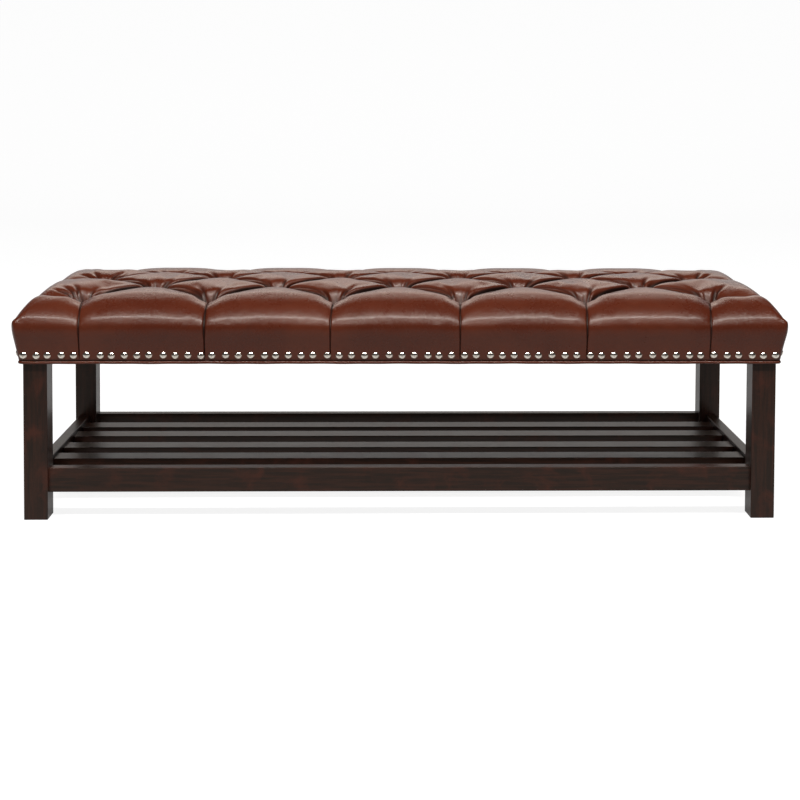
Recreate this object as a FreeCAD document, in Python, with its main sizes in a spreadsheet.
import FreeCAD, Part
import math
import os
import re
import Sketcher

# Upholstered bench with a tufted seat, four square legs and a slatted shelf.
# X runs along the bench, the front faces -Y, Z is up and the floor is z = 0.
# The origin lies on the floor under the middle of the bench. All sizes are millimetres.

Vector = FreeCAD.Vector
Rotation = FreeCAD.Rotation
Placement = FreeCAD.Placement

document = FreeCAD.newDocument("bench")
document.UndoMode = 0

# Driving dimensions

DRIVING_DIMENSIONS = [
    # Seat, outer form
    ("seat_length", 1524, "over the shoulders of the cushion"),
    ("seat_depth", 543, "over the shoulders of the cushion"),
    ("seat_height", 451, "top of the crown above the floor"),
    ("shoulder_height", 395, "widest line of the cushion"),
    ("cover_height", 318, "lower edge of the leather"),
    ("side_draw", 9, "how far the sides are drawn in at their lower edge"),
    ("side_swell", 1.5, "how far the sides belly out of a straight line"),
    ("edge_run", 90, "width of the rounded edge along front and back"),
    ("edge_height", 437, "height where that edge meets the crown"),
    ("end_run", 62, "width of the rounded edge at the ends"),
    ("end_height", 444, "height where that edge turns level"),
    ("end_crown", 16, "end section's crown above the seat, so it trims the ends only"),
    ("edge_belly", 7.5, "how far the front and back edges stand proud of a straight line"),
    ("end_belly", 9, "how far the end edges stand proud of a straight line"),
    ("cover_thickness", 1.6, "leather"),
    ("soft_gap", 0.5, "air between soft pieces"),
    # Tufting
    ("tuft_pitch", 254, "from tuft to tuft along a row"),
    ("row_pitch", 90.5, "from row to row"),
    ("tuft_depth", 32, "from the crown to the floor of a tuft"),
    ("tuft_rim", 34, "radius of a tuft where it leaves the crown"),
    ("tuft_floor", 11.5, "radius of the floor of a tuft"),
    ("lattice_shift", -8, "first row, measured from the middle"),
    ("row_drift", 2.5, "each row lies this much further right"),
    ("channel_depth", 15, "diagonal creases between the tufts"),
    ("channel_reach", 26, "half the width of a crease"),
    ("pleat_depth", 12, "straight pleats from the outer tufts to the edge"),
    ("button_radius", 11, "leather-covered button"),
    ("button_thickness", 7, "at its middle"),
    ("twine_radius", 0.7, "waxed twine that holds a button down"),
    # Seat box
    ("box_height", 312, "underside of the seat box above the floor"),
    ("box_inset", 6, "frame face behind the lower edge of the leather"),
    ("box_rail_thickness", 18, "seat box rails"),
    ("box_rail_height", 48, "seat box rails"),
    ("deck_thickness", 12, "plywood deck"),
    ("cross_rail_place", 190, "cross rails, from the middle"),
    ("corner_block_leg", 92, "short sides of a corner block"),
    ("corner_block_height", 38, "corner blocks"),
    ("welt_radius", 3.1, "round welt under the leather"),
    ("welt_corner", 7, "bend of the welt at a corner"),
    ("dust_cover_thickness", 0.8, "black cloth under the seat box"),
    # Legs and shelf
    ("leg_span_length", 1490, "over the legs, along the bench"),
    ("leg_span_depth", 510, "over the legs, front to back"),
    ("leg_side", 47, "square section"),
    ("rail_thickness", 23, "shelf rails"),
    ("rail_low", 53, "underside of the shelf rails"),
    ("rail_high", 101.3, "top of the shelf rails"),
    ("rail_setback", 9.5, "rail faces behind the leg faces"),
    ("slat_width", 47, "shelf slats"),
    ("slat_thickness", 14, "shelf slats"),
    ("slat_drop", 7.3, "slat tops below the rail tops"),
    ("slat_clearance", 0.5, "at each end of a slat or cleat"),
    ("cleat_width", 18, "strip that carries the slat ends"),
    ("cleat_height", 20, "strip that carries the slat ends"),
    ("edge_ease", 1.6, "softened edges of the visible timber"),
    # Fastenings
    ("nail_radius", 7.1, "domed head"),
    ("nail_dome", 3.8, "height of the head"),
    ("nail_shank_radius", 0.9, "square cut nails drawn round"),
    ("nail_shank_length", 16, "below the head"),
    ("nail_height", 328.5, "nail line above the floor"),
    ("nail_pitch", 24.7, "along the front"),
    ("nail_end_margin", 10.5, "from the corner to the first nail"),
    ("nail_wander", 2.4, "how far a nail set by eye strays along its row"),
    ("nail_rise", 0.8, "how far it strays up and down"),
    ("nail_stagger", 3.6, "end rows stand higher, so that shanks pass at the corners"),
    ("dowel_radius", 4, "beech dowels"),
    ("dowel_length", 40, "half in the leg, half in the rail"),
    ("dowel_inset", 12, "from the edge of a rail to its dowel"),
    ("bolt_radius", 4, "leg bolts"),
    ("bolt_length", 60, "under the head"),
    ("bolt_inset", 7, "leg bolt from the middle of the leg towards the seat's middle"),
    ("bolt_head_height", 5.3, "hexagon head"),
    ("bolt_head_radius", 7.5, "over the corners of the hexagon"),
    ("washer_radius", 12, "leg bolt washers"),
    ("washer_thickness", 1.6, "leg bolt washers"),
    ("insert_radius", 6.5, "threaded insert in the top of a leg"),
    ("insert_length", 25, "threaded insert in the top of a leg"),
    ("screw_radius", 2, "wood screws"),
    ("screw_head_radius", 4, "wood screws"),
    ("screw_head_height", 2.6, "pan head"),
    ("cleat_pilot", 17, "depth of the screw holes in the side rails"),
    ("slat_pilot", 10, "depth of the screw holes in the slats"),
    ("box_pilot", 33, "depth of the screw holes in the cross rails"),
    ("deck_pilot", 26, "depth of the deck screws' holes in the seat rails"),
    ("staple_width", 10, "wire staples under the seat"),
    ("staple_pitch", 66, "along the dust cover's edge"),
]

sheet = document.addObject("Spreadsheet::Sheet", "Dimensions")
for number, (alias, amount, note) in enumerate(DRIVING_DIMENSIONS, start=1):
    sheet.set(f"A{number}", alias)
    sheet.set(f"B{number}", str(amount))
    sheet.set(f"C{number}", note)
    sheet.setAlias(f"B{number}", alias)
document.recompute()


def bound(text):
    """An expression whose words are cells of the sheet."""
    return re.sub(r"[a-z]\w*", lambda word: "Dimensions." + word.group(), text)


def size(text):
    """The same expression as a number."""
    return float(sheet.evalExpression(bound(text)))


# Sketches and features shared by the wooden pieces

def new_body(label):
    body = document.addObject("PartDesign::Body", label)
    body.Label = label
    return body


def new_sketch(body, plane, offset="0"):
    """A sketch on one of the body's own origin planes, moved along its normal."""
    number = len(body.Group) + 1
    sketch = body.newObject("Sketcher::SketchObject", f"{body.Name}_sketch_{number}")
    plane_object = next(item for item in body.Origin.OriginFeatures if item.Role == plane)
    sketch.AttachmentSupport = (plane_object, [""])
    sketch.MapMode = "FlatFace"
    sketch.setExpression("AttachmentOffset.Base.z", bound(offset))
    return sketch


def fix_point(sketch, edge, end, across, along):
    """Hold one point of the sketch at two expressions measured from its origin."""
    for kind, text in (("DistanceX", across), ("DistanceY", along)):
        index = sketch.addConstraint(Sketcher.Constraint(kind, -1, 1, edge, end, size(text)))
        sketch.setExpression(f"Constraints[{index}]", bound(text))


def draw_polygon(sketch, corners):
    """A closed outline of straight lines through corners given as expressions."""
    points = [Vector(size(across), size(along), 0) for across, along in corners]
    first = sketch.GeometryCount
    count = len(points)
    for index in range(count):
        sketch.addGeometry(Part.LineSegment(points[index], points[(index + 1) % count]))
    for index in range(count):
        following = first + (index + 1) % count
        sketch.addConstraint(Sketcher.Constraint("Coincident", first + index, 2, following, 1))
    for index, (across, along) in enumerate(corners):
        fix_point(sketch, first + index, 1, across, along)


def draw_rectangle(sketch, across, along):
    """A rectangle centred on the origin of the sketch."""
    left, right = f"-({across})/2", f"({across})/2"
    low, high = f"-({along})/2", f"({along})/2"
    draw_polygon(sketch, [(left, low), (right, low), (right, high), (left, high)])


def draw_circle(sketch, across, along, radius):
    centre = Vector(size(across), size(along), 0)
    edge = sketch.addGeometry(Part.Circle(centre, Vector(0, 0, 1), size(radius)))
    fix_point(sketch, edge, 3, across, along)
    index = sketch.addConstraint(Sketcher.Constraint("Radius", edge, size(radius)))
    sketch.setExpression(f"Constraints[{index}]", bound(radius))


def pad(body, sketch, length):
    feature = body.newObject("PartDesign::Pad", f"{body.Name}_pad")
    feature.Profile = sketch
    feature.setExpression("Length", bound(length))
    sketch.Visibility = False
    return feature


def pocket(body, sketch, depth, reverse=False):
    feature = body.newObject("PartDesign::Pocket", f"{body.Name}_pocket_{len(body.Group)}")
    feature.Profile = sketch
    feature.Reversed = reverse
    feature.setExpression("Length", bound(depth))
    return feature


def drill(body, plane, offset, centres, radius, depth, reverse=False):
    """Round holes that start on a plane of the body and run into the timber."""
    sketch = new_sketch(body, plane, offset)
    for across, along in centres:
        draw_circle(sketch, across, along, radius)
    return pocket(body, sketch, depth, reverse)


def ease_edges(body, wanted, radius="edge_ease"):
    """Round over the edges whose direction and middle point are wanted."""
    document.recompute()
    base = body.Tip
    names = []
    for number, edge in enumerate(base.Shape.Edges, start=1):
        if len(edge.Vertexes) < 2 or edge.Curve.TypeId != "Part::GeomLine":
            continue
        direction = edge.Vertexes[1].Point - edge.Vertexes[0].Point
        if wanted(direction.normalize(), edge.CenterOfMass):
            names.append(f"Edge{number}")
    fillet = body.newObject("PartDesign::Fillet", f"{body.Name}_ease")
    fillet.Base = (base, names)
    fillet.setExpression("Radius", bound(radius))


def place(body, x, y, z, turn=0):
    """Set a body down at expressions for its place, turned about the upright axis."""
    body.Placement = Placement(Vector(0, 0, 0), Rotation(Vector(0, 0, 1), turn))
    for axis, text in (("x", x), ("y", y), ("z", z)):
        body.setExpression(f"Placement.Base.{axis}", bound(text))


def timber(label, along_x, along_y, height):
    """A straight piece of timber, its middle on the z axis and its underside at z = 0."""
    body = new_body(label)
    section = new_sketch(body, "XY_Plane")
    draw_rectangle(section, along_x, along_y)
    pad(body, section, height)
    return body


def fastener_group(label, pattern, places):
    """Separate copies of one fastener, all in one piece of the parts list."""
    copies = []
    for spot in places:
        copy = pattern.Shape.copy()
        copy.Placement = spot.multiply(copy.Placement)
        copies.append(copy)
    group = document.addObject("Part::Feature", label)
    group.Label = label
    group.Shape = Part.makeCompound(copies)
    return group


handed_in = []

# Legs: square posts with dowel holes for the shelf rails and a bolt hole in the top

LEG_CORNERS = [
    ("front_left", -1, -1, 0),
    ("front_right", 1, -1, 90),
    ("back_right", 1, 1, 180),
    ("back_left", -1, 1, 270),
]
RAIL_MIDDLE = "(rail_setback + rail_thickness/2 - leg_side/2)"
DOWEL_LOW = "rail_low + dowel_inset"
DOWEL_HIGH = "rail_high - dowel_inset"


def is_upright(direction, middle):
    return abs(direction.z) > 0.9


def is_foot_or_upright(direction, middle):
    return abs(direction.z) > 0.9 or middle.z < 0.01


for corner, side_x, side_y, turn in LEG_CORNERS:
    leg = timber(f"leg_{corner}", "leg_side", "leg_side", "box_height")
    dowel_heights = [(RAIL_MIDDLE, DOWEL_LOW), (RAIL_MIDDLE, DOWEL_HIGH)]
    drill(leg, "YZ_Plane", "leg_side/2", dowel_heights, "dowel_radius", "dowel_length/2")
    drill(leg, "XZ_Plane", "-leg_side/2", dowel_heights, "dowel_radius", "dowel_length/2", True)
    drill(leg, "XY_Plane", "box_height", [("bolt_inset", "bolt_inset")], "insert_radius",
          "insert_length")
    ease_edges(leg, is_foot_or_upright)
    place(leg, f"{side_x}*(leg_span_length - leg_side)/2",
          f"{side_y}*(leg_span_depth - leg_side)/2", "0", turn)
    handed_in.append(leg)

# Shelf rails: they stand between the legs, set back from the leg faces

LONG_RAIL = "leg_span_length - 2*leg_side"
SHORT_RAIL = "leg_span_depth - 2*leg_side"
RAIL_HEIGHT = "rail_high - rail_low"
RAIL_DOWELS = [("0", "dowel_inset"), ("0", f"{RAIL_HEIGHT} - dowel_inset")]


def runs_along_x(direction, middle):
    return abs(direction.x) > 0.9


def runs_along_y(direction, middle):
    return abs(direction.y) > 0.9


for end, side_y in (("front", -1), ("back", 1)):
    rail = timber(f"shelf_rail_{end}", LONG_RAIL, "rail_thickness", RAIL_HEIGHT)
    drill(rail, "YZ_Plane", f"({LONG_RAIL})/2", RAIL_DOWELS, "dowel_radius", "dowel_length/2")
    drill(rail, "YZ_Plane", f"-({LONG_RAIL})/2", RAIL_DOWELS, "dowel_radius",
          "dowel_length/2", True)
    ease_edges(rail, runs_along_x)
    place(rail, "0", f"{side_y}*(leg_span_depth/2 - rail_setback - rail_thickness/2)", "rail_low")
    handed_in.append(rail)

CLEAT_TOP = "rail_high - slat_drop - slat_thickness"
CLEAT_SCREW_STATIONS = ["-175", "-79", "104", "190"]
CLEAT_SCREW_HEIGHT = f"{CLEAT_TOP} - cleat_height/2 - rail_low"

for end, side_x in (("left", -1), ("right", 1)):
    rail = timber(f"shelf_rail_{end}", "rail_thickness", SHORT_RAIL, RAIL_HEIGHT)
    drill(rail, "XZ_Plane", f"({SHORT_RAIL})/2", RAIL_DOWELS, "dowel_radius", "dowel_length/2")
    drill(rail, "XZ_Plane", f"-({SHORT_RAIL})/2", RAIL_DOWELS, "dowel_radius",
          "dowel_length/2", True)
    screw_holes = [(station, CLEAT_SCREW_HEIGHT) for station in CLEAT_SCREW_STATIONS]
    inner_face = f"{-side_x}*rail_thickness/2"
    drill(rail, "YZ_Plane", inner_face, screw_holes, "screw_radius", "cleat_pilot", side_x > 0)
    ease_edges(rail, runs_along_y)
    place(rail, f"{side_x}*(leg_span_length/2 - rail_setback - rail_thickness/2)", "0", "rail_low")
    handed_in.append(rail)

# Cleats and slats: four slats rest on a strip along each side rail

SLAT_PLACES = ["-123", "-35", "63", "145"]
SHELF_INNER = "(leg_span_length/2 - rail_setback - rail_thickness)"
CLEAT_LENGTH = f"{SHORT_RAIL} - 2*slat_clearance"
CLEAT_CENTRE = f"({SHELF_INNER} - cleat_width/2)"

for end, side_x in (("left", -1), ("right", 1)):
    cleat = timber(f"shelf_cleat_{end}", "cleat_width", CLEAT_LENGTH, "cleat_height")
    slat_holes = [("0", station) for station in SLAT_PLACES]
    drill(cleat, "XY_Plane", "cleat_height", slat_holes, "screw_radius", "cleat_height")
    rail_holes = [(station, "cleat_height/2") for station in CLEAT_SCREW_STATIONS]
    drill(cleat, "YZ_Plane", "cleat_width/2", rail_holes, "screw_radius", "cleat_width")
    place(cleat, f"{side_x}*{CLEAT_CENTRE}", "0", f"{CLEAT_TOP} - cleat_height")
    handed_in.append(cleat)

for number, station in enumerate(SLAT_PLACES, start=1):
    slat = timber(f"shelf_slat_{number}", f"2*({SHELF_INNER} - slat_clearance)", "slat_width",
                  "slat_thickness")
    pilot_holes = [(f"-{CLEAT_CENTRE}", "0"), (CLEAT_CENTRE, "0")]
    drill(slat, "XY_Plane", "0", pilot_holes, "screw_radius", "slat_pilot", True)
    ease_edges(slat, runs_along_x)
    place(slat, "0", station, CLEAT_TOP)
    handed_in.append(slat)

# Seat box: rails, two cross rails and a corner block over each leg

BOX_LENGTH = "(seat_length - 2*side_draw - 2*box_inset)"
BOX_DEPTH = "(seat_depth - 2*side_draw - 2*box_inset)"
BOX_INNER_DEPTH = f"({BOX_DEPTH} - 2*box_rail_thickness)"
BOX_SCREW_HEIGHTS = ["box_rail_height/4", "box_rail_height*3/4"]
END_RAIL_CENTRE = f"({BOX_LENGTH}/2 - box_rail_thickness/2)"
CROSS_CENTRES = [f"-{END_RAIL_CENTRE}", "-cross_rail_place", "cross_rail_place", END_RAIL_CENTRE]
DECK_HEIGHT = "(box_height + box_rail_height)"
DECK_SCREWS_X = ["-700", "-432", "-144", "144", "432", "700"]
DECK_SCREWS_Y = ["-120", "120"]

for end, side_y in (("front", -1), ("back", 1)):
    rail = timber(f"seat_rail_{end}", BOX_LENGTH, "box_rail_thickness", "box_rail_height")
    joint_holes = [(x, z) for x in CROSS_CENTRES for z in BOX_SCREW_HEIGHTS]
    drill(rail, "XZ_Plane", "box_rail_thickness/2", joint_holes, "screw_radius",
          "box_rail_thickness")
    outer_face = f"{-side_y}*box_rail_thickness/2"
    drill(rail, "XZ_Plane", outer_face, joint_holes, "screw_head_radius", "screw_head_height",
          side_y > 0)
    deck_holes = [(x, "0") for x in DECK_SCREWS_X]
    drill(rail, "XY_Plane", "box_rail_height", deck_holes, "screw_radius", "deck_pilot")
    place(rail, "0", f"{side_y}*({BOX_DEPTH}/2 - box_rail_thickness/2)", "box_height")
    handed_in.append(rail)

CROSS_NAMES = ["seat_rail_left", "cross_rail_left", "cross_rail_right", "seat_rail_right"]
for label, centre in zip(CROSS_NAMES, CROSS_CENTRES):
    rail = timber(label, "box_rail_thickness", BOX_INNER_DEPTH, "box_rail_height")
    end_holes = [("0", z) for z in BOX_SCREW_HEIGHTS]
    drill(rail, "XZ_Plane", f"{BOX_INNER_DEPTH}/2", end_holes, "screw_radius", "box_pilot")
    drill(rail, "XZ_Plane", f"-{BOX_INNER_DEPTH}/2", end_holes, "screw_radius", "box_pilot", True)
    if label.startswith("seat"):
        deck_holes = [("0", y) for y in DECK_SCREWS_Y]
        drill(rail, "XY_Plane", "box_rail_height", deck_holes, "screw_radius", "deck_pilot")
    place(rail, centre, "0", "box_height")
    handed_in.append(rail)

BOX_INNER_X = f"({BOX_LENGTH}/2 - box_rail_thickness)"
BOX_INNER_Y = f"({BOX_DEPTH}/2 - box_rail_thickness)"
BLOCK_BOLT_X = f"({BOX_INNER_X} - (leg_span_length - leg_side)/2 + bolt_inset)"
BLOCK_BOLT_Y = f"({BOX_INNER_Y} - (leg_span_depth - leg_side)/2 + bolt_inset)"

for corner, side_x, side_y, turn in LEG_CORNERS:
    block = new_body(f"corner_block_{corner}")
    outline = new_sketch(block, "XY_Plane")
    draw_polygon(outline, [
        ("0", "0"),
        (f"{-side_x}*corner_block_leg", "0"),
        ("0", f"{-side_y}*corner_block_leg"),
    ])
    pad(block, outline, "corner_block_height")
    bolt_hole = [(f"{-side_x}*{BLOCK_BOLT_X}", f"{-side_y}*{BLOCK_BOLT_Y}")]
    drill(block, "XY_Plane", "corner_block_height", bolt_hole, "bolt_radius + 0.5",
          "corner_block_height")
    place(block, f"{side_x}*{BOX_INNER_X}", f"{side_y}*{BOX_INNER_Y}", "box_height")
    handed_in.append(block)

# Tuft lattice: five rows of six and five tufts in turn, drawn as diamonds

ROW_COUNT = 5


def tuft_centres():
    """Row number and plan position of every tuft, front row first."""
    centres = []
    for row in range(ROW_COUNT):
        in_row = 6 if row % 2 == 0 else 5
        y = (row - (ROW_COUNT - 1) / 2) * size("row_pitch")
        shift = size("lattice_shift") + row * size("row_drift")
        for place_in_row in range(in_row):
            x = (place_in_row - (in_row - 1) / 2) * size("tuft_pitch") + shift
            centres.append((row, x, y))
    return centres


def crown_height(y):
    """Height of the seat's crown at a distance from the middle line, before tufting."""
    half = size("seat_depth/2 - edge_run")
    rise = size("seat_height - edge_height")
    radius = (half ** 2 + rise ** 2) / (2 * rise)
    return size("seat_height") - radius + math.sqrt(radius ** 2 - y ** 2)


TUFTS = tuft_centres()

# Deck: plywood with a hole for each twine and countersinks for the screws

DECK_EDGE_X = END_RAIL_CENTRE
DECK_EDGE_Y = f"({BOX_DEPTH}/2 - box_rail_thickness/2)"

deck_screw_spots = [(x, f"{side}*{DECK_EDGE_Y}") for x in DECK_SCREWS_X for side in (-1, 1)]
deck_screw_spots += [(f"{side}*{DECK_EDGE_X}", y) for y in DECK_SCREWS_Y for side in (-1, 1)]

deck = timber("deck_board", BOX_LENGTH, BOX_DEPTH, "deck_thickness")
twine_spots = [(f"{x:.2f}", f"{y:.2f}") for row, x, y in TUFTS]
drill(deck, "XY_Plane", "deck_thickness", twine_spots, "twine_radius + 2", "deck_thickness")
drill(deck, "XY_Plane", "deck_thickness", deck_screw_spots, "screw_radius", "deck_thickness")
drill(deck, "XY_Plane", "deck_thickness", deck_screw_spots, "screw_head_radius",
      "screw_head_height")
place(deck, "0", "0", DECK_HEIGHT)
handed_in.append(deck)

# Dust cover: thin cloth under the seat box, notched round the four leg tops

CLOTH_X = f"({BOX_LENGTH}/2 - 3)"
CLOTH_Y = f"({BOX_DEPTH}/2 - 3)"
NOTCH_X = "(leg_span_length/2 - leg_side - 1)"
NOTCH_Y = "(leg_span_depth/2 - leg_side - 1)"

dust_cover = new_body("dust_cover")
cloth_outline = new_sketch(dust_cover, "XY_Plane")
cloth_corners = []
for side_x, side_y, starts_on_end in ((-1, -1, True), (1, -1, False), (1, 1, True), (-1, 1, False)):
    on_end = (f"{side_x}*{CLOTH_X}", f"{side_y}*{NOTCH_Y}")
    inner = (f"{side_x}*{NOTCH_X}", f"{side_y}*{NOTCH_Y}")
    on_side = (f"{side_x}*{NOTCH_X}", f"{side_y}*{CLOTH_Y}")
    notch = [on_end, inner, on_side]
    cloth_corners += notch if starts_on_end else notch[::-1]
draw_polygon(cloth_outline, cloth_corners)
pad(dust_cover, cloth_outline, "dust_cover_thickness")
place(dust_cover, "0", "0", "box_height - dust_cover_thickness")
handed_in.append(dust_cover)

# Cushion form: crowned across both ways, drawn in at its sides, with channels and tufts


def arc(start, middle, end):
    return Part.Arc(start, middle, end).toShape()


def crowned_section(half, edge_run, edge_height, top_height, belly, inset, along):
    """Upright section through the cushion: two drawn-in sides, two edges and a crown.

    along is the horizontal direction of the section and inset shrinks it evenly."""
    def at(distance, height):
        return along * distance + Vector(0, 0, height)

    foot = at(half - size("side_draw") - inset, size("cover_height"))
    shoulder = at(half - inset, size("shoulder_height") - inset / 2)
    turn = at(half - edge_run - inset / 2, edge_height - inset)
    top = at(0, top_height - inset)
    left_foot, left_shoulder, left_turn = [
        Vector(-point.x, -point.y, point.z) for point in (foot, shoulder, turn)
    ]
    side_middle = (foot + shoulder) / 2 + along * size("side_swell")
    left_side_middle = Vector(-side_middle.x, -side_middle.y, side_middle.z)
    chord = turn - shoulder
    outward = along * chord.z - Vector(0, 0, chord.dot(along))
    edge_middle = (shoulder + turn) / 2 + outward.normalize() * belly
    left_edge_middle = Vector(-edge_middle.x, -edge_middle.y, edge_middle.z)
    wire = Part.Wire([
        arc(foot, side_middle, shoulder),
        arc(shoulder, edge_middle, turn),
        arc(turn, top, left_turn),
        arc(left_turn, left_edge_middle, left_shoulder),
        arc(left_shoulder, left_side_middle, left_foot),
        Part.LineSegment(left_foot, foot).toShape(),
    ])
    return Part.Face(wire)


def crowned_block(inset):
    """The untufted cushion: where the front-to-back and the end-to-end sections agree."""
    length, depth = size("seat_length"), size("seat_depth")
    across = crowned_section(depth / 2, size("edge_run"), size("edge_height"),
                             size("seat_height"), size("edge_belly"), inset, Vector(0, 1, 0))
    lengthwise = crowned_section(length / 2, size("end_run"), size("end_height"),
                                 size("seat_height + end_crown"), size("end_belly"), inset,
                                 Vector(1, 0, 0))
    across.translate(Vector(-length, 0, 0))
    lengthwise.translate(Vector(0, -depth, 0))
    long_bar = across.extrude(Vector(2 * length, 0, 0))
    cross_bar = lengthwise.extrude(Vector(0, 2 * depth, 0))
    return long_bar.common(cross_bar)


def channel_tool(start, end, depth, reach):
    """A trough from one point of the crown to another, its flanks rounded like the puffs."""
    rim_lift = 1.5
    clear_lift = 22
    flank = 3.5
    run = end - start
    level = Vector(run.x, run.y, 0).normalize()
    sideways = Vector(-level.y, level.x, 0)

    def at(distance, height):
        return start + sideways * distance + Vector(0, 0, height)

    bottom = at(0, -depth)
    rims = [at(side * reach, rim_lift) for side in (1, -1)]
    flanks = [at(side * (reach / 2 - flank * 0.4), rim_lift - depth / 2 + flank) for side in (1, -1)]
    tops = [at(side * reach, clear_lift) for side in (1, -1)]
    wire = Part.Wire([
        arc(bottom, flanks[0], rims[0]),
        Part.LineSegment(rims[0], tops[0]).toShape(),
        Part.LineSegment(tops[0], tops[1]).toShape(),
        Part.LineSegment(tops[1], rims[1]).toShape(),
        arc(rims[1], flanks[1], bottom),
    ])
    return Part.Face(wire).extrude(run)


def wedge_tool(start, end, opening, reach):
    """A V groove whose sharp bottom runs from start to end and which opens one way."""
    run = end - start
    sideways = run.cross(opening).normalize()
    corners = [start, start + opening + sideways * reach, start + opening - sideways * reach]
    return Part.Face(Part.makePolygon(corners + corners[:1])).extrude(run)


def tuft_tool(x, y, inset):
    """A funnel down to the floor of one tuft, with the twine hole under it."""
    clear = 14
    into_deck = 4
    slack_round_twine = 0.8
    depth = size("tuft_depth")
    floor = size("tuft_floor") + inset
    slope = (size("tuft_rim") - size("tuft_floor")) / depth
    bottom = Vector(x, y, crown_height(y) - depth - inset)
    funnel = Part.makeCone(floor, floor + slope * (depth + clear), depth + clear, bottom)
    hole_foot = Vector(x, y, size(f"{DECK_HEIGHT} + deck_thickness") - into_deck)
    hole_radius = size("twine_radius") + slack_round_twine
    twine_hole = Part.makeCylinder(hole_radius, bottom.z + 1 - hole_foot.z, hole_foot)
    return [funnel, twine_hole]


def edge_pleat_tools(tuft, outward, inset):
    """The straight pleat of one outer tuft: over the edge and down the drawn-in side."""
    goes_to_front_or_back = abs(outward.y) > 0.5
    half = size("seat_depth/2") if goes_to_front_or_back else size("seat_length/2")
    edge_run = size("edge_run") if goes_to_front_or_back else size("end_run")
    edge_height = size("edge_height") if goes_to_front_or_back else size("end_height")
    beside = Vector(tuft.x, 0, 0) if goes_to_front_or_back else Vector(0, tuft.y, 0)
    depth = size("pleat_depth") + inset
    edge_opening, edge_reach = Vector(0, 0, 46), 34
    face_opening, face_reach = outward * 16, 11

    def at(distance, height):
        return beside + outward * distance + Vector(0, 0, height)

    at_tuft = tuft - Vector(0, 0, depth)
    at_turn = at(half - edge_run, edge_height - depth)
    at_shoulder = at(half, size("shoulder_height") - 3 - inset)
    overrun = (at_shoulder - at_turn).normalize() * 12
    bottom_line = [at_tuft, at_turn, at_shoulder + overrun]
    tools = []
    for start, end in zip(bottom_line, bottom_line[1:]):
        if (end - start).Length > 5:
            tools.append(wedge_tool(start, end, edge_opening, edge_reach))
    face_top = at(half - 4 - inset, size("shoulder_height") + 12)
    face_foot = at(half - size("side_draw") + 1.5, size("cover_height") + 24)
    tools.append(wedge_tool(face_top, face_foot, face_opening, face_reach))
    return tools


def tufting_tools(inset):
    """Everything that the tufting takes away from the crowned block."""
    tools = []
    for row, x, y in TUFTS:
        tools += tuft_tool(x, y, inset)
        here = Vector(x, y, crown_height(y))
        for next_row, next_x, next_y in TUFTS:
            if next_row == row + 1 and abs(next_x - x) < size("tuft_pitch"):
                there = Vector(next_x, next_y, crown_height(next_y))
                tools.append(channel_tool(here, there, size("channel_depth") + inset,
                                          size("channel_reach") + inset))
        if row == 0:
            tools += edge_pleat_tools(here, Vector(0, -1, 0), inset)
        if row == ROW_COUNT - 1:
            tools += edge_pleat_tools(here, Vector(0, 1, 0), inset)
        if abs(x) > 2.4 * size("tuft_pitch"):
            tools += edge_pleat_tools(here, Vector(math.copysign(1, x), 0, 0), inset)
    return tools


def tufted_form(inset):
    """The whole cushion as one solid, shrunk evenly by an inset."""
    return crowned_block(inset).cut(tufting_tools(inset))


def soft_piece(label, shape):
    piece = document.addObject("Part::Feature", label)
    piece.Label = label
    piece.Shape = shape
    handed_in.append(piece)
    return piece


def centred_box(length, depth, low, high):
    corner = Vector(-length / 2, -depth / 2, low)
    return Part.makeBox(length, depth, high - low, corner)


cover_outside = tufted_form(0)
cover_inside = tufted_form(size("cover_thickness"))
soft_core = tufted_form(size("cover_thickness + soft_gap"))
soft_piece("leather_cover", cover_outside.cut(cover_inside))

deck_top = size(f"{DECK_HEIGHT} + deck_thickness")
beyond = size("seat_length") * 2
foam_space = centred_box(beyond, beyond, deck_top + size("soft_gap"), beyond)
soft_piece("foam_pad", soft_core.common(foam_space))

box_length, box_depth = size(BOX_LENGTH), size(BOX_DEPTH)
side_space = centred_box(beyond, beyond, size("cover_height + soft_gap"), deck_top)
box_space = centred_box(box_length + 2 * size("soft_gap"), box_depth + 2 * size("soft_gap"),
                        0, beyond)
soft_piece("side_wadding", soft_core.common(side_space).cut(box_space))

# Welt: a round cord that closes the gap under the leather, all the way round

WELT_REACH_X = "(seat_length/2 - side_draw - welt_radius)"
WELT_REACH_Y = "(seat_depth/2 - side_draw - welt_radius)"

welt = new_body("welt")
welt_path = new_sketch(welt, "XY_Plane")
straight_x, straight_y = f"({WELT_REACH_X} - welt_corner)", f"({WELT_REACH_Y} - welt_corner)"
bends = [
    ((WELT_REACH_X, straight_y), (straight_x, WELT_REACH_Y), 45),
    ((f"-{straight_x}", WELT_REACH_Y), (f"-{WELT_REACH_X}", straight_y), 135),
    ((f"-{WELT_REACH_X}", f"-{straight_y}"), (f"-{straight_x}", f"-{WELT_REACH_Y}"), 225),
    ((straight_x, f"-{WELT_REACH_Y}"), (WELT_REACH_X, f"-{straight_y}"), 315),
]
for (start_x, start_y), (end_x, end_y), direction in bends:
    start, end = Vector(size(start_x), size(start_y), 0), Vector(size(end_x), size(end_y), 0)
    outward = Vector(math.cos(math.radians(direction)), math.sin(math.radians(direction)), 0)
    sagitta = size("welt_corner") * (1 - math.sqrt(0.5))
    welt_path.addGeometry(Part.Arc(start, (start + end) / 2 + outward * sagitta, end))
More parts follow.
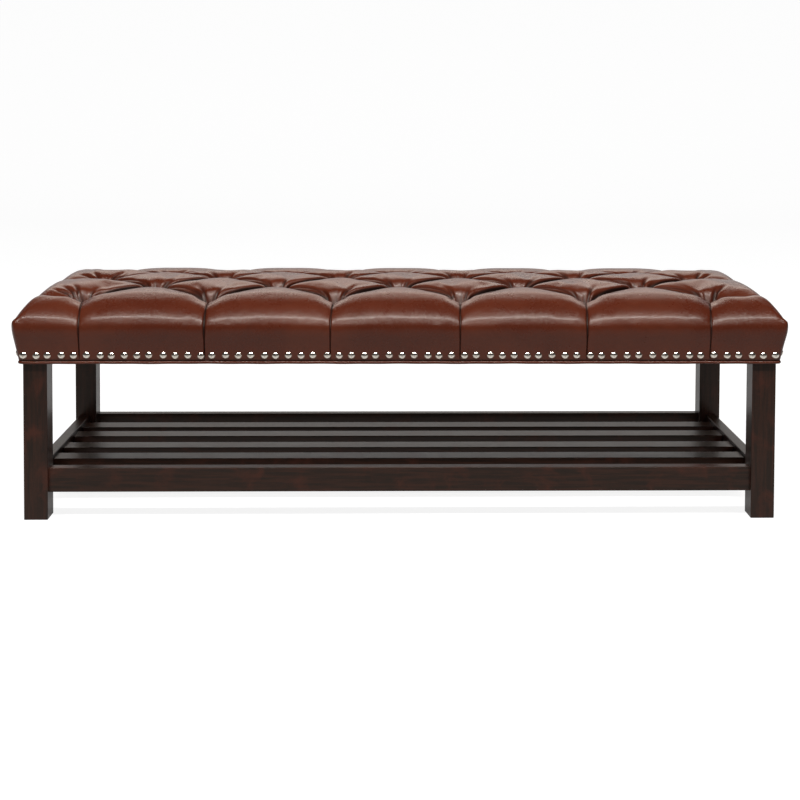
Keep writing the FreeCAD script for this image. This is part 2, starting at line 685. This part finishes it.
for number, (start, end, direction) in enumerate(bends):
    following = (number + 1) % 4
    next_start = bends[following][0]
    corners = [Vector(size(x), size(y), 0) for x, y in (end, next_start)]
    line = welt_path.addGeometry(Part.LineSegment(corners[0], corners[1]))
    fix_point(welt_path, line, 1, *end)
    fix_point(welt_path, line, 2, *next_start)
    welt_path.addConstraint(Sketcher.Constraint("Coincident", number, 2, line, 1))
    welt_path.addConstraint(Sketcher.Constraint("Coincident", line, 2, following, 1))
    radius = welt_path.addConstraint(Sketcher.Constraint("Radius", number, size("welt_corner")))
    welt_path.setExpression(f"Constraints[{radius}]", bound("welt_corner"))
welt_section = new_sketch(welt, "YZ_Plane")
draw_circle(welt_section, WELT_REACH_Y, "0", "welt_radius")
welt_pipe = welt.newObject("PartDesign::AdditivePipe", "welt_pipe")
welt_pipe.Profile = welt_section
welt_pipe.Spine = welt_path
place(welt, "0", "0", "cover_height - welt_radius")
handed_in.append(welt)

# Buttons, twines and toggles: each tuft is pulled down and tied off under the deck


def turned(label, corners):
    """A small turned piece: its half section spun about the z axis."""
    body = new_body(label)
    section = new_sketch(body, "XZ_Plane")
    draw_polygon(section, corners)
    spin = body.newObject("PartDesign::Revolution", f"{label}_spin")
    spin.Profile = section
    spin.ReferenceAxis = (section, ["V_Axis"])
    spin.Angle = 360
    return body


def standing_at(x, y, z):
    return Placement(Vector(x, y, z), Rotation())


def tuft_floor_height(y):
    return crown_height(y) - size("tuft_depth")


button = turned("button_pattern", [
    ("0", "0"),
    ("button_radius*0.86", "0"),
    ("button_radius", "button_thickness*0.22"),
    ("button_radius*0.93", "button_thickness*0.52"),
    ("button_radius*0.66", "button_thickness*0.83"),
    ("button_radius*0.33", "button_thickness*0.97"),
    ("0", "button_thickness"),
])
document.recompute()
button_rest = 0.4
handed_in.append(fastener_group("tuft_buttons", button, [
    standing_at(x, y, tuft_floor_height(y) + button_rest) for row, x, y in TUFTS
]))

deck_underside = size(DECK_HEIGHT)
twines = []
for row, x, y in TUFTS:
    length = tuft_floor_height(y) + button_rest - deck_underside
    twines.append(Part.makeCylinder(size("twine_radius"), length, Vector(x, y, deck_underside)))
soft_piece("tuft_twines", Part.makeCompound(twines))

TOGGLE_LENGTH, TOGGLE_WIDTH, TOGGLE_HEIGHT = 24, 9, 5
toggle = timber("toggle_pattern", str(TOGGLE_LENGTH), str(TOGGLE_WIDTH), str(TOGGLE_HEIGHT))
document.recompute()
handed_in.append(fastener_group("twine_toggles", toggle, [
    standing_at(x, y, deck_underside - TOGGLE_HEIGHT) for row, x, y in TUFTS
]))

# Nailheads: a close row of domed nails, set by hand along the lower edge


def wander(number, reach):
    """A small uneven offset, different for each nail of a row."""
    return reach * (0.6 * math.sin(number * 2.4) + 0.4 * math.sin(number * 5.3 + 1))


nail_dome_radius = size("(nail_radius*nail_radius + nail_dome*nail_dome)/(2*nail_dome)")
rim_latitude = math.degrees(math.asin(1 - size("nail_dome") / nail_dome_radius))
nail_head = document.addObject("Part::Sphere", "nail_head")
nail_head.setExpression(
    "Radius", bound("(nail_radius*nail_radius + nail_dome*nail_dome)/(2*nail_dome)"))
nail_head.Angle1 = rim_latitude
nail_head.Placement = standing_at(0, 0, size("nail_dome") - nail_dome_radius)
nail_shank = document.addObject("Part::Cylinder", "nail_shank")
nail_shank.setExpression("Radius", bound("nail_shank_radius"))
nail_shank.setExpression("Height", bound("nail_shank_length + nail_dome/2"))
nail_shank.Placement = standing_at(0, 0, -size("nail_shank_length"))
nail = document.addObject("Part::Fuse", "nail_pattern")
nail.Base = nail_head
nail.Tool = nail_shank
document.recompute()


def side_reach(half, height):
    """How far out the drawn-in side stands at one height."""
    share = (height - size("cover_height")) / size("shoulder_height - cover_height")
    swell = 4 * share * (1 - share) * size("side_swell")
    return half - size("side_draw") * (1 - share) + swell


def side_lean(half, height):
    """The lean of the side from upright there, in degrees."""
    step = 1.0
    return math.degrees(math.atan(side_reach(half, height + step) - side_reach(half, height)))


def nail_row(label, half_run, half_out, turn, raised=0):
    """One straight row of nails along a side that faces -Y before it is turned."""
    span = 2 * (half_run - size("side_draw") - size("nail_end_margin"))
    gaps = round(span / size("nail_pitch"))
    spots = []
    for number in range(gaps + 1):
        along = -span / 2 + span * number / gaps + wander(number, size("nail_wander"))
        height = size("nail_height") + raised + wander(number + 40, size("nail_rise"))
        lean = side_lean(half_out, height)
        stand = Placement(Vector(along, -side_reach(half_out, height) - 0.1, height),
                          Rotation(Vector(1, 0, 0), 90 + lean))
        spots.append(Placement(Vector(), Rotation(Vector(0, 0, 1), turn)).multiply(stand))
    handed_in.append(fastener_group(label, nail, spots))


half_length, half_depth = size("seat_length/2"), size("seat_depth/2")
nail_row("nailheads_front", half_length, half_depth, 0)
nail_row("nailheads_right", half_depth, half_length, 90, size("nail_stagger"))
nail_row("nailheads_back", half_length, half_depth, 180)
nail_row("nailheads_left", half_depth, half_length, 270, size("nail_stagger"))

# Dowels: two in each end of each shelf rail

dowel = document.addObject("Part::Cylinder", "dowel_pattern")
dowel.setExpression("Radius", bound("dowel_radius"))
dowel.setExpression("Height", bound("dowel_length"))
document.recompute()

rail_line_x = size("leg_span_length/2 - rail_setback - rail_thickness/2")
rail_line_y = size("leg_span_depth/2 - rail_setback - rail_thickness/2")
joint_x, joint_y = size(f"({LONG_RAIL})/2"), size(f"({SHORT_RAIL})/2")
half_dowel = size("dowel_length/2")
lay_along_x = Rotation(Vector(0, 1, 0), 90)
lay_along_y = Rotation(Vector(1, 0, 0), -90)
dowel_spots = []
for side_x in (-1, 1):
    for side_y in (-1, 1):
        for height in (size(DOWEL_LOW), size(DOWEL_HIGH)):
            dowel_spots.append(Placement(
                Vector(side_x * joint_x - half_dowel, side_y * rail_line_y, height), lay_along_x))
            dowel_spots.append(Placement(
                Vector(side_x * rail_line_x, side_y * joint_y - half_dowel, height), lay_along_y))
handed_in.append(fastener_group("rail_dowels", dowel, dowel_spots))

# Leg bolts: one through each corner block into a threaded insert in the leg

bolt = new_body("bolt_pattern")
shank_section = new_sketch(bolt, "XY_Plane", "-bolt_length")
draw_circle(shank_section, "0", "0", "bolt_radius")
pad(bolt, shank_section, "bolt_length")
head_section = new_sketch(bolt, "XY_Plane")
hexagon = []
for corner_number in range(6):
    angle = math.radians(60 * corner_number)
    hexagon.append((f"bolt_head_radius*{math.cos(angle):.6f}",
                    f"bolt_head_radius*{math.sin(angle):.6f}"))
draw_polygon(head_section, hexagon)
head_pad = bolt.newObject("PartDesign::Pad", "bolt_head_pad")
head_pad.Profile = head_section
head_pad.setExpression("Length", bound("bolt_head_height"))


def ring(label, outer, bore, height):
    """A washer or sleeve standing on z = 0."""
    body = new_body(label)
    section = new_sketch(body, "XY_Plane")
    draw_circle(section, "0", "0", outer)
    draw_circle(section, "0", "0", bore)
    pad(body, section, height)
    return body


washer = ring("washer_pattern", "washer_radius", "bolt_radius + 0.2", "washer_thickness")
insert = ring("insert_pattern", "insert_radius", "bolt_radius", "insert_length")
document.recompute()

leg_x = size("(leg_span_length - leg_side)/2 - bolt_inset")
leg_y = size("(leg_span_depth - leg_side)/2 - bolt_inset")
leg_spots = [(side_x * leg_x, side_y * leg_y) for corner, side_x, side_y, turn in LEG_CORNERS]
block_top = size("box_height + corner_block_height")
washer_top = block_top + size("washer_thickness")
insert_foot = size("box_height - insert_length")
handed_in.append(fastener_group("leg_washers", washer, [
    standing_at(x, y, block_top) for x, y in leg_spots]))
handed_in.append(fastener_group("leg_bolts", bolt, [
    standing_at(x, y, washer_top) for x, y in leg_spots]))
handed_in.append(fastener_group("leg_inserts", insert, [
    standing_at(x, y, insert_foot) for x, y in leg_spots]))

# Screws: pan-headed wood screws, top of the head at z = 0 and point down


def screw_pattern(label, length):
    return turned(label, [
        ("0", "0"),
        ("0", f"-{length}"),
        ("screw_radius", f"-{length} + 4"),
        ("screw_radius", "-screw_head_height"),
        ("screw_head_radius", "-screw_head_height"),
        ("screw_head_radius", "-screw_head_height*0.6"),
        ("screw_head_radius*0.7", "0"),
    ])


def aimed(x, y, z, direction):
    """A screw that starts at a point and drives in a direction."""
    return Placement(Vector(x, y, z), Rotation(Vector(0, 0, -1), direction))


slat_screw = screw_pattern("slat_screw_pattern", 30)
cleat_screw = screw_pattern("cleat_screw_pattern", 34)
box_screw = screw_pattern("box_screw_pattern", 49)
deck_screw = screw_pattern("deck_screw_pattern", 36)
document.recompute()

cleat_x = size(CLEAT_CENTRE)
cleat_bottom = size(f"{CLEAT_TOP} - cleat_height")
head_height = size("screw_head_height")
handed_in.append(fastener_group("slat_screws", slat_screw, [
    aimed(side * cleat_x, float(station), cleat_bottom - head_height, Vector(0, 0, 1))
    for side in (-1, 1) for station in SLAT_PLACES
]))

cleat_screw_height = size(f"{CLEAT_TOP} - cleat_height/2")
cleat_face = size(f"{SHELF_INNER} - cleat_width")
handed_in.append(fastener_group("cleat_screws", cleat_screw, [
    aimed(side * (cleat_face - head_height), float(station), cleat_screw_height,
          Vector(side, 0, 0))
    for side in (-1, 1) for station in CLEAT_SCREW_STATIONS
]))

box_face = size(f"{BOX_DEPTH}/2")
handed_in.append(fastener_group("seat_box_screws", box_screw, [
    aimed(size(centre), side * box_face, size(f"box_height + {height}"), Vector(0, -side, 0))
    for side in (-1, 1) for centre in CROSS_CENTRES for height in BOX_SCREW_HEIGHTS
]))
handed_in.append(fastener_group("deck_screws", deck_screw, [
    aimed(size(x), size(y), deck_top, Vector(0, 0, -1)) for x, y in deck_screw_spots
]))

# Staples: they hold the dust cover's edge to the underside of the seat box

STAPLE_WIRE = 0.9
staple = timber("staple_pattern", "staple_width", str(STAPLE_WIRE), "0.6")
document.recompute()
staple_height = size("box_height - dust_cover_thickness") - 0.6
staple_line = size(f"{BOX_DEPTH}/2 - box_rail_thickness/2")
staple_end = size(f"{BOX_LENGTH}/2 - box_rail_thickness/2")


def staple_row(half_run, out, turn):
    """Staples along one edge of the cloth, clear of the legs at both ends."""
    reach = half_run - size("leg_side") - 24
    gaps = round(2 * reach / size("staple_pitch"))
    spots = []
    for number in range(gaps + 1):
        along = -reach + 2 * reach * number / gaps
        stand = Placement(Vector(along, -out, staple_height),
                          Rotation(Vector(0, 0, 1), 8 * math.sin(number * 2.4)))
        spots.append(Placement(Vector(), Rotation(Vector(0, 0, 1), turn)).multiply(stand))
    return spots


staple_spots = staple_row(half_length, staple_line, 0) + staple_row(half_length, staple_line, 180)
staple_spots += staple_row(half_depth, staple_end, 90) + staple_row(half_depth, staple_end, 270)
handed_in.append(fastener_group("dust_cover_staples", staple, staple_spots))

# Check every object, then write one file for each piece

document.recompute()
for item in document.Objects:
    if {"Invalid", "Error"} & set(item.State):
        raise RuntimeError(f"{item.Label} failed: {item.State}")
    if item.TypeId == "PartDesign::Pocket":
        removed = item.BaseFeature.Shape.Volume - item.Shape.Volume
        if removed < 1:
            raise RuntimeError(f"{item.Label} cuts nothing")

os.makedirs("parts", exist_ok=True)
for piece in handed_in:
    shape = piece.Shape
    if shape.isNull() or not shape.isValid():
        raise RuntimeError(f"{piece.Label} is not a valid shape")
    shape.exportStep(f"parts/{piece.Label}.step")
    print(f"{piece.Label:28s} {len(shape.Solids):4d} solids {shape.Volume / 1000:10.1f} cm3")
